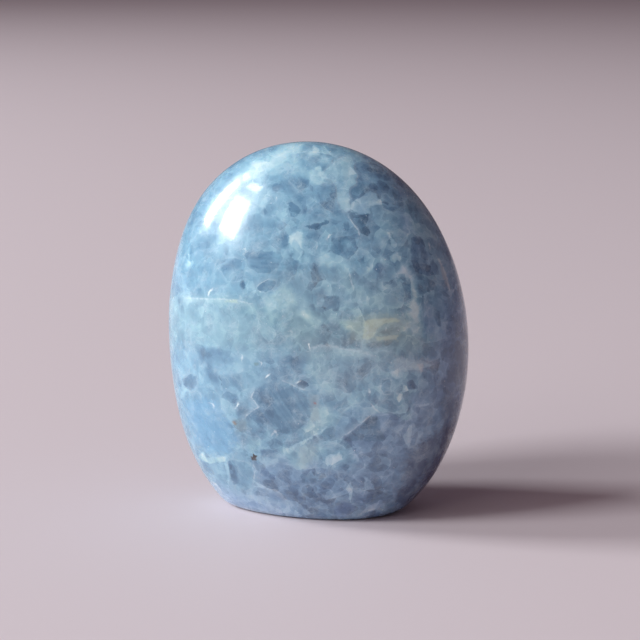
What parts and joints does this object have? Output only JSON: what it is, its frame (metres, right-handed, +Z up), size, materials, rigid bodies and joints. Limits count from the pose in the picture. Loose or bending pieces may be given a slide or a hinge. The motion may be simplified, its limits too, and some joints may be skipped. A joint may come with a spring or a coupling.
{
  "type": "celestite freeform",
  "caption": "Polished egg-shaped freeform of pale blue, cloudy celestite that stands upright on a small flat cut at its base, as a display stone.",
  "frame": {"origin": "on the floor, under the middle of the stone's box, on the flat cut it stands on", "axes": "+Z up along the stone's height, +X to the right and -Y to the front of the broad face"},
  "size_m": [0.0734, 0.0452, 0.09],
  "materials": {
    "celestite": "polished, cloudy blue with paler veins and darker crystal domains, slightly translucent"
  },
  "bodies": {
    "root": {"celestite_stone": "celestite"}
  },
  "joints": []
}
